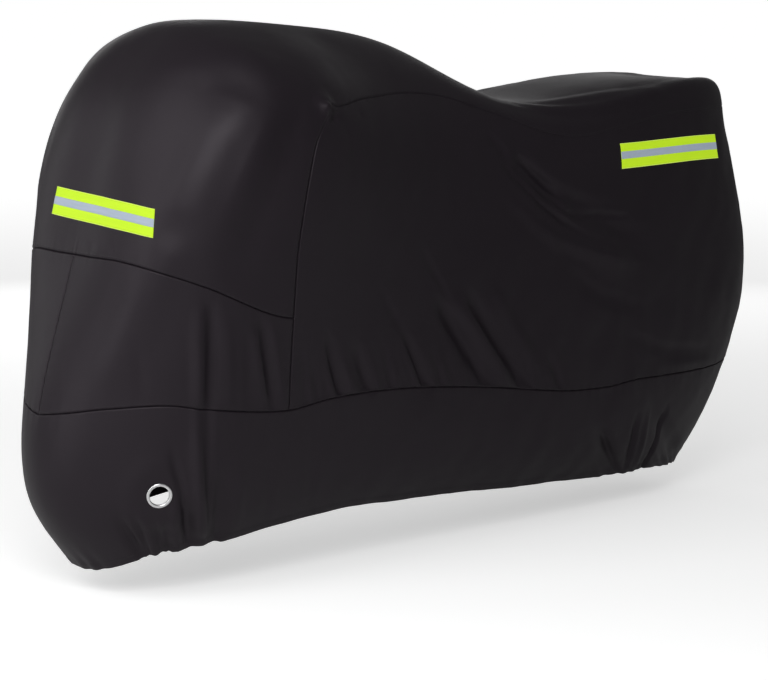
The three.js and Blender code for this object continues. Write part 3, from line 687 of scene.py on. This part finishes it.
def new_piece(name, points, faces, finish, flats=None):
    """Smooth piece in its finish; flats holds its points' places on the flat cloth."""
    mesh = bpy.data.meshes.new(name)
    mesh.from_pydata(points.reshape(-1, 3).tolist(), [], faces)
    if flats is not None:
        corner_of = np.empty(len(mesh.loops), int)
        mesh.loops.foreach_get("vertex_index", corner_of)
        mesh.uv_layers.new(name="cut").data.foreach_set("uv", flats.reshape(-1, 2)[corner_of].ravel())
    mesh.polygons.foreach_set("use_smooth", np.ones(len(mesh.polygons), bool))
    mesh.materials.append(finish)
    return new_object(name, mesh)


def cut_panel(name, columns, rows, covers=lambda column, row: True, closed_round=False, holes=()):
    """Mesh of one panel of the pattern; holes lists the centre and way out of each round hole."""
    places, flats = finished_cloth(columns[:, None], rows[None, :])
    punched = np.zeros(places.shape[:2], bool)
    for centre, out in holes:
        offset = places - centre
        offset = offset - (offset @ out)[..., None] * out
        away = length_of(offset)
        inside = (away < HOLE_RADIUS + SPACING / 2) & (length_of(places - centre) < 0.04)
        rim = places + offset * (HOLE_RADIUS / np.maximum(away, 1e-6) - 1)[..., None]
        places = np.where(inside[..., None], rim, places)
        punched |= inside
    count, depth = len(columns), len(rows)
    index = np.arange(count * depth).reshape(count, depth)
    if closed_round:
        index[0] = index[-1]
    if rows[0] == 0:
        # All columns of the crown meet in a few points along the middle
        snapped = np.abs(columns)
        snapped = np.where(snapped < NOSE_POLE, 0, np.where(snapped > TAIL_POLE, TAIL, snapped))
        left = np.where(columns >= 0)[0]
        index[:, 0] = index[left[[np.argmin(np.abs(snapped[left] - c)) for c in snapped]], 0]
    faces = []
    for i in range(count - 1):
        for j in range(depth - 1):
            covered = covers((columns[i] + columns[i + 1]) / 2, (rows[j] + rows[j + 1]) / 2)
            if not covered or punched[i : i + 2, j : j + 2].all():
                continue
            square = index[i : i + 2, j : j + 2].ravel()[[0, 1, 3, 2]]
            corners = list(dict.fromkeys(square.tolist()))
            if len(corners) > 2:
                faces.append(corners)
    used = np.unique(np.concatenate(faces))
    renumber = np.zeros(count * depth, int)
    renumber[used] = np.arange(len(used))
    faces = [renumber[face].tolist() for face in faces]
    points, flats = places.reshape(-1, 3)[used], flats.reshape(-1, 2)[used]
    return new_piece(name, points, faces, cloth_material, flats)


def give_thickness(piece, thickness=CLOTH):
    sheet = piece.modifiers.new("thickness", "SOLIDIFY")
    sheet.thickness = thickness
    sheet.offset = -1
    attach(piece, "root")


hood = cut_panel(
    "hood_and_top_panel",
    all_round,
    np.concatenate([[0], band_rows(0)[3:], band_rows(1)]),
    covers=lambda column, row: row < 1 or abs(column) < SIDE_RIB,
    closed_round=True,
)
give_thickness(hood)
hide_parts("hood", "top_panel")


def polyester_thread(name, dark, light, painted_glow_strength=0.0):
    """Twisted sewing thread, a little shinier than the cloth; a painted glow strength above 0 makes it glow
    in its own colour as painted light.
    """
    thread, tree = new_finish(name)
    strands = noise(tree, over_piece(tree), 900)
    tint = tint_between(tree, strands, dark, light)
    looks = {
        "Roughness": 0.45,
        "Specular IOR Level": 0.35,
        **painted_glow(tint, painted_glow_strength),
        "Normal": relief(tree, strands, 0.0001, 0.4),
    }
    return with_looks(thread, looks)


def stitch_row_tree():
    """Stitches laid one behind the other along every line of a mesh, each a short length of thread."""
    sizes = ("Stitch spacing", "Stitch length", "Thread thickness")
    sockets = [("Lines", "INPUT", "Geometry"), *((label, "INPUT", "Float") for label in sizes)]
    sockets += [("Thread", "INPUT", "Material"), ("Stitches", "OUTPUT", "Geometry")]
    tree, entry, result = new_group("row_of_stitches", "GeometryNodeTree", sockets)
    seam = add_node(tree, "GeometryNodeMeshToCurve", {"Mesh": entry["Lines"]})["Curve"]
    pace = {"Curve": seam, "Length": entry["Stitch spacing"]}
    needle_holes = add_node(tree, "GeometryNodeCurveToPoints", pace, mode="LENGTH")
    bead = add_node(tree, "GeometryNodeMeshUVSphere", {"Segments": 6, "Rings": 4, "Radius": 0.5})["Mesh"]
    thick = entry["Thread thickness"]
    size = add_node(tree, "ShaderNodeCombineXYZ", {"X": entry["Stitch length"], "Y": thick, "Z": thick})
    stitch = add_node(tree, "GeometryNodeTransform", {"Geometry": bead, "Scale": size["Vector"]})
    tangent = {"Vector": needle_holes["Tangent"]}
    laid = {
        "Points": needle_holes["Points"],
        "Instance": stitch["Geometry"],
        "Rotation": add_node(tree, "FunctionNodeAlignRotationToVector", tangent, axis="X")["Rotation"],
        "Scale": add_node(tree, "FunctionNodeRandomValue", {2: 0.88, 3: 1.10, "Seed": 4})[1],
    }
    sewn = add_node(tree, "GeometryNodeInstanceOnPoints", laid)["Instances"]
    solid = add_node(tree, "GeometryNodeRealizeInstances", {"Geometry": sewn})["Geometry"]
    rounded = add_node(tree, "GeometryNodeSetShadeSmooth", {"Geometry": solid})["Geometry"]
    coloured = {"Geometry": rounded, "Material": entry["Thread"]}
    feed(tree, result, {"Stitches": add_node(tree, "GeometryNodeSetMaterial", coloured)["Geometry"]})
    return tree


stitch_rows = stitch_row_tree()
black_thread = polyester_thread("black_polyester_thread", (0.010, 0.0095, 0.0105), (0.022, 0.021, 0.023))


def sew(name, lines, thread=black_thread, slot="cloth", spacing=0.0052, length=0.0040, thickness=0.0009):
    """Rows of stitches along the lines, which are arrays of points."""
    guide = bpy.data.meshes.new(name)
    first = np.cumsum([0] + [len(line) for line in lines])
    steps = [(k, k + 1) for start, line in zip(first, lines) for k in range(start, start + len(line) - 1)]
    guide.from_pydata(np.vstack(lines).tolist(), steps, [])
    stitches = new_object(name, guide)
    rows = stitches.modifiers.new("rows_of_stitches", "NODES")
    rows.node_group = stitch_rows
    values = {"Stitch spacing": spacing, "Stitch length": length, "Thread thickness": thickness}
    values["Thread"] = thread
    for item in stitch_rows.interface.items_tree:
        if item.in_out == "INPUT" and item.name in values:
            rows[item.identifier] = values[item.name]
    bpy.context.view_layer.update()
    sewn = stitches.evaluated_get(bpy.context.evaluated_depsgraph_get())
    mesh = bpy.data.meshes.new_from_object(sewn)
    stitches.modifiers.remove(rows)
    stitches.data = mesh
    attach(stitches, "root")
    return stitches


def above_edge(start, stop, row, metres=ALLOWANCE_STITCH):
    """Points at a distance above the seam or hem at the foot of a band, from column to column."""
    columns = np.linspace(start, stop, int(abs(stop - start) * 110) + 2)
    rib, line, edges = on_pattern(columns, np.full(columns.shape, row - 0.001))
    depth = (edges[row] - edges[row - 1]) * length_of(directions(bare_form, rib, line)[1])
    return finished_cloth(columns, row - metres / depth)[0]


def beside_seam(column, top, bottom, metres=ALLOWANCE_STITCH):
    """Points at a distance beside an upright seam, from row to row."""
    rows = np.linspace(top + 0.03, bottom - 0.02, int((bottom - top) * 90) + 2)
    rib, line, _ = on_pattern(np.full(rows.shape, column), rows)
    per_rib = length_of(directions(bare_form, rib, line)[0])
    return finished_cloth(column + metres / per_rib, rows)[0]


hood_stitching = sew(
    "hood_topstitching",
    [
        above_edge(SIDE_RIB, TAIL, 1),
        above_edge(-TAIL, -SIDE_RIB, 1),
        above_edge(-SIDE_RIB, SIDE_RIB, 2),
        beside_seam(SIDE_RIB, 1, 2, -ALLOWANCE_STITCH),
        beside_seam(-SIDE_RIB, 1, 2),
    ],
)

# Lower front panels
# Two pieces of the same cloth between hood and skirt, sewn to each other down the middle of the nose.
for hand, side in SIDES:
    panel = cut_panel(f"front_panel_{side}", on_side(front_columns, hand), band_rows(2))
    give_thickness(panel)
    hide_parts(f"front_{side}")
    sewing = [above_edge(0, hand * SIDE_RIB, 3), beside_seam(hand * SIDE_RIB, 2, 3, -hand * ALLOWANCE_STITCH)]
    if side == "left":
        sewing.append(beside_seam(0, 2, 3))
    stitching = sew(f"front_topstitching_{side}", sewing)

# Side panels
# One long piece to a side, from the seam below the side point to the seam down the back.
for hand, side in SIDES:
    rows = np.concatenate([band_rows(1), band_rows(2)])
    panel = cut_panel(f"side_panel_{side}", on_side(side_columns, hand), rows)
    give_thickness(panel)
    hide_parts(f"side_{side}")
    sewing = [above_edge(hand * SIDE_RIB, hand * TAIL, 3)]
    if side == "left":
        sewing.append(beside_seam(TAIL, 1, 3, -ALLOWANCE_STITCH))
    stitching = sew(f"side_topstitching_{side}", sewing)

# Skirt
# The lowest band of cloth with its turned hem, drawn in at both ends. It is one length here, and
# the holes for the two lock eyelets are punched in its front.
skirt = cut_panel("skirt", all_round, band_rows(3), closed_round=True, holes=eyelet_spots)
give_thickness(skirt)
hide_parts("skirt_front", "skirt_left", "skirt_right")
sewing = [above_edge(-TAIL, TAIL, 4, HEM_STITCH), beside_seam(TAIL, 3, 4, -ALLOWANCE_STITCH)]
skirt_stitching = sew("skirt_topstitching", sewing)

# Lock eyelets
# A plated steel ring through the skirt on each side of the nose, for a lock's chain or cable.
# The barrel is rolled over behind the cloth, so that it grips the edge of the hole.
eyelet_section = [                  # radius and height above the cloth in millimetres, once round
    (28.5, 0.1), (28.45, 0.75), (28.0, 1.35), (27.2, 1.8), (26.0, 2.1), (24.8, 2.15), (23.6, 1.95),
    (22.6, 1.5), (21.9, 0.85), (21.5, 0.1), (21.4, -0.8), (21.45, -1.8), (21.6, -2.6), (22.1, -3.2),
    (22.9, -3.5), (23.9, -3.45), (25.6, -3.05), (27.4, -2.75), (28.1, -2.5), (28.2, -2.1), (27.8, -1.85),
    (25.6, -1.75), (23.4, -1.72), (23.1, -1.4), (23.0, -0.6), (23.1, 0.05), (25.0, 0.08),
]
EYELET_STEPS = 96


def plated_steel():
    """Bright nickel plating with fine scratches and a little dullness from handling."""
    metal, tree = new_finish("nickel_plating")
    place = over_piece(tree)
    dull = noise(tree, place, 120, detail=5)
    looks = {
        "Metallic": 1,
        "Roughness": between(tree, dull, 0.22, 0.38),
        "Base Color": tint_between(tree, dull, (0.80, 0.80, 0.80), (0.93, 0.93, 0.94)),
        "Normal": relief(tree, noise(tree, place, 700, distortion=2), 0.00003, 0.3),
    }
    return with_looks(metal, looks)


nickel_plating = plated_steel()
turns = np.arange(EYELET_STEPS) * 2 * math.pi / EYELET_STEPS
radius, height = np.array(eyelet_section).T / 1000
ring_faces = []
for k in range(EYELET_STEPS):
    this, other = k * len(radius), (k + 1) % EYELET_STEPS * len(radius)
    for a in range(len(radius)):
        b = (a + 1) % len(radius)
        ring_faces.append((this + a, other + a, other + b, this + b))
for (centre, out), (_, side) in zip(eyelet_spots, SIDES):
    level = np.cross(out, UPWARDS)
    level /= length_of(level)
    round_ring = np.cos(turns)[:, None] * level + np.sin(turns)[:, None] * np.cross(out, level)
    ring_points = centre + radius[None, :, None] * round_ring[:, None] + height[None, :, None] * out
    ring = new_piece(f"lock_eyelet_{side}", ring_points, ring_faces, nickel_plating)
    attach(ring, "root")
    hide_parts(f"eyelet_{side}")

# Reflective tape
# Three lengths of fluorescent yellow-green woven tape, one across the front of the hood and one at the
# rear of each side, sewn down all round. A grey retroreflective band is bonded along the middle.
TAPE_WIDTH, TAPE_THICKNESS, TAPE_LIFT = 0.062, 0.0007, 0.0004
BAND_WIDTH, BAND_THICKNESS, BAND_LIFT = 0.018, 0.0003, 0.0001
STRIP_STEP = 0.003
TAPE_STITCH = 0.0025                # stitching in from the tape's edge
TAPE_RIBS = 1100                    # weft ribs in a metre of tape
tape_runs = {                       # rib and line of the tape's middle at even steps from start to end
    "front": ((-0.6, 3.68), (-0.036, 3.705), (0.47, 3.716), (0.919, 3.731), (1.31, 3.76)),
    "rear_left": ((7.02, 3.05), (7.65, 3.07), (8.48, 3.08)),
    "rear_right": ((-8.48, 3.08), (-7.65, 3.07), (-7.02, 3.05)),
}


def on_tape(run, along, across, lift):
    """Points over the tape's middle line: along from 0 to 1, across in metres downwards, lift outwards."""
    steps = np.linspace(0, 1, len(run))
    rib, line = (follow(list(zip(steps, column)), along) for column in zip(*run))
    line = line + across / length_of(directions(bare_form, rib, line)[1])
    points, rise, out = soft_cloth(rib, line)
    return points + (rise + lift)[..., None] * out


def strip(name, run, width, lift, thickness, finish):
    """Woven or bonded strip along a tape's middle line, with its cut and selvedge edges square."""
    metres = length_of(np.diff(on_tape(run, np.linspace(0, 1, 60), np.zeros(60), 0), axis=0)).sum()
    along = np.linspace(0, 1, int(metres / STRIP_STEP) + 1)
    across = np.linspace(-width / 2, width / 2, max(int(width / STRIP_STEP), 6) + 1)
    along, across = np.meshgrid(along, across, indexing="ij")
    points = on_tape(run, along, across, lift + thickness)
    index = np.arange(along.size).reshape(along.shape)
    corners = [index[:-1, :-1], index[:-1, 1:], index[1:, 1:], index[1:, :-1]]
    corners = np.stack(corners, axis=-1).reshape(-1, 4).tolist()
    flats = np.stack([along * metres, across / width + 0.5], axis=-1)
    piece = new_piece(name, points, corners, finish, flats)
    give_thickness(piece, thickness)
    return piece, metres


def stretched(tree, place, scale):
    return add_node(tree, "ShaderNodeVectorMath", {0: place, 1: scale}, operation="MULTIPLY")[0]


def fluorescent_tape():
    """Ribbed woven tape in fluorescent yellow-green, paler along its selvedges, with a glow in its own colour
    that is partly its fluorescence and partly painted light standing in for light falling on it.
    """
    tape, tree = new_finish("fluorescent_woven_tape")
    place = over_flat_cloth(tree)
    axes = add_node(tree, "ShaderNodeSeparateXYZ", {0: place})
    from_middle = worked_out(tree, "ABSOLUTE", worked_out(tree, "SUBTRACT", axes["Y"], 0.5))
    outermost = {"Value": from_middle, "From Min": 0.470, "From Max": 0.485}
    selvedge = add_node(tree, "ShaderNodeMapRange", outermost)["Result"]
    rib_turns = worked_out(tree, "MULTIPLY", axes["X"], 2 * math.pi * TAPE_RIBS)
    stripes = noise(tree, stretched(tree, place, (6, 22, 1)), 1, detail=3)
    tint = tint_between(tree, stripes, (0.22, 0.36, 0.006), (0.28, 0.40, 0.010))
    mixed = {0: selvedge, 6: tint, 7: (0.32, 0.42, 0.07, 1)}
    edged = add_node(tree, "ShaderNodeMix", mixed, data_type="RGBA")[2]
    looks = {
        "Roughness": 0.6,
        "Specular IOR Level": 0.3,
        # painted light: the tape glows at strength 1.4 in its own colour, beyond what its fluorescence alone
        # would give
        **painted_glow(edged, 1.4),
        "Normal": relief(tree, worked_out(tree, "SINE", rib_turns), 0.00012, 0.6),
    }
    return with_looks(tape, looks)


def glass_bead_band():
    """Retroreflective film: a grey layer of tiny glass beads that glitters faintly, with a painted glow in
    its own colour that stands in for the light it throws back.
    """
    band, tree = new_finish("grey_reflective_film")
    beads = add_node(tree, "ShaderNodeTexVoronoi", {"Vector": over_piece(tree), "Scale": 1800})["Distance"]
    patches = noise(tree, stretched(tree, over_flat_cloth(tree), (14, 3, 1)), 1, detail=4)
    tint = tint_between(tree, patches, (0.175, 0.215, 0.23), (0.22, 0.245, 0.32))
    looks = {
        "Roughness": 0.38,
        "Specular IOR Level": 0.25,
        # painted reflection: the film glows at strength 1.0 in its own colour
        **painted_glow(tint, 1.0),
        "Normal": relief(tree, beads, 0.00004, 0.5),
    }
    return with_looks(band, looks)


woven_tape, reflective_film = fluorescent_tape(), glass_bead_band()
# The yellow-green thread glows in its own colour at strength 1.1, painted light like the tape's.
yellow_thread = polyester_thread("yellow_green_thread", (0.18, 0.29, 0.006), (0.23, 0.34, 0.01), painted_glow_strength=1.1)
small_stitches = {"spacing": 0.0036, "length": 0.0028, "thickness": 0.0006}
tape_top = TAPE_LIFT + TAPE_THICKNESS
for place_name, run in tape_runs.items():
    tape_name, band_name = f"reflective_tape_{place_name}", f"reflective_band_{place_name}"
    tape, metres = strip(tape_name, run, TAPE_WIDTH, TAPE_LIFT, TAPE_THICKNESS, woven_tape)
    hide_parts(f"tape_{place_name}")
    on_top = tape_top + BAND_LIFT
    band, _ = strip(band_name, run, BAND_WIDTH, on_top, BAND_THICKNESS, reflective_film)
    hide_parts(f"band_{place_name}")
    inset, reach = TAPE_STITCH / metres, TAPE_WIDTH / 2 - TAPE_STITCH
    lengthwise = inset + (1 - 2 * inset) * np.linspace(0, 1, 90)
    crosswise = np.linspace(-reach, reach, 30)
    sewing = [on_tape(run, lengthwise, np.full(90, edge), tape_top) for edge in (-reach, reach)]
    sewing += [on_tape(run, np.full(30, end), crosswise, tape_top) for end in (inset, 1 - inset)]
    stitching = sew(f"tape_stitching_{place_name}", sewing, yellow_thread, "tape", **small_stitches)

# Floor, light and camera
# A plain pale studio floor, broad soft lights mostly from the front and the left, two weak low ones from
# behind, and a long lens at the photograph's place.
MIDDLE = Vector((0.5, 0, -0.5))
LIGHT_DISTANCE, LIGHT_SIDE = 4.5, 1.8
soft_lights = [                     # name, compass angle from the left-hand side, height angle, watts
    ("key", -46, 26, 88),
    ("front_high", -90, 35, 33),
    ("front_low", -90, 8, 30),
    ("overhead", -30, 62, 9),
    ("front_far", -125, 20, 11),
    ("front_right", -150, 8, 12),
    ("low_back", 160, 12, 20),
    ("low_back_left", 125, 9, 9),
]


def towards(around, above):
    """Way out from the middle at a compass angle and a height angle in degrees."""
    around, above = math.radians(around), math.radians(above)
    level = math.cos(above)
    return Vector((math.sin(around) * level, -math.cos(around) * level, math.sin(above)))


for name, around, above, watts in soft_lights:
    lamp = bpy.data.lights.new(f"{name}_softbox", "AREA")
    lamp.size = LIGHT_SIDE
    lamp.energy = watts
    light = new_object(f"{name}_softbox", lamp)
    light.location = MIDDLE + towards(around, above) * LIGHT_DISTANCE
    light.rotation_euler = towards(around, above).to_track_quat("Z", "Y").to_euler()
    light.visible_camera = False

world = bpy.data.worlds.new("studio")
bpy.context.scene.world = world
world.use_nodes = True
sky = world.node_tree
seen_directly = add_node(sky, "ShaderNodeLightPath")["Is Camera Ray"]
brightness = between(sky, seen_directly, 0.15, 0.96)
feed(sky, sky.nodes["Background"], {"Color": (1, 1, 1, 1), "Strength": brightness})


def pale_paper():
    """White studio paper that glows for the camera only, a painted light that is weaker near the middle and
    stronger out to the backdrop, so that it stays pale where the lamps' light falls away.
    """
    paper, tree = new_finish("pale_paper")
    outwards = add_node(tree, "ShaderNodeVectorMath", {0: over_piece(tree)}, operation="LENGTH")["Value"]
    painted_glow_range = {"Value": outwards, "From Min": 1.5, "From Max": 9, "To Min": 0.52, "To Max": 0.88}
    painted_glow_fade = add_node(tree, "ShaderNodeMapRange", painted_glow_range, interpolation_type="SMOOTHSTEP")["Result"]
    seen = add_node(tree, "ShaderNodeLightPath")["Is Camera Ray"]
    looks = {
        "Base Color": (0.80, 0.80, 0.80, 1),
        "Roughness": 0.9,
        # painted light: the camera sees the paper glow, from 0.52 near the cover to 0.88 far out
        "Emission Color": (1, 1, 1, 1),
        "Emission Strength": worked_out(tree, "MULTIPLY", seen, painted_glow_fade),
    }
    return with_looks(paper, looks)


bpy.ops.mesh.primitive_plane_add(size=120, location=(0.5, 0, -GROUND))
floor = bpy.context.object
floor.name = "studio_floor"
floor.data.materials.append(pale_paper())

CAMERA_AROUND, CAMERA_ABOVE = -41, 9.2
lens = bpy.data.cameras.new("long_lens")
lens.sensor_width = 36
lens.lens = 123.8
lens.clip_end = 100
camera = new_object("camera", lens)
camera.location = (-3.668, -4.768, 0.240)
ahead = -towards(CAMERA_AROUND, CAMERA_ABOVE)
camera.rotation_euler = ahead.to_track_quat("-Z", "Y").to_euler()
bpy.context.scene.camera = camera
bpy.context.scene.view_settings.view_transform = "Standard"
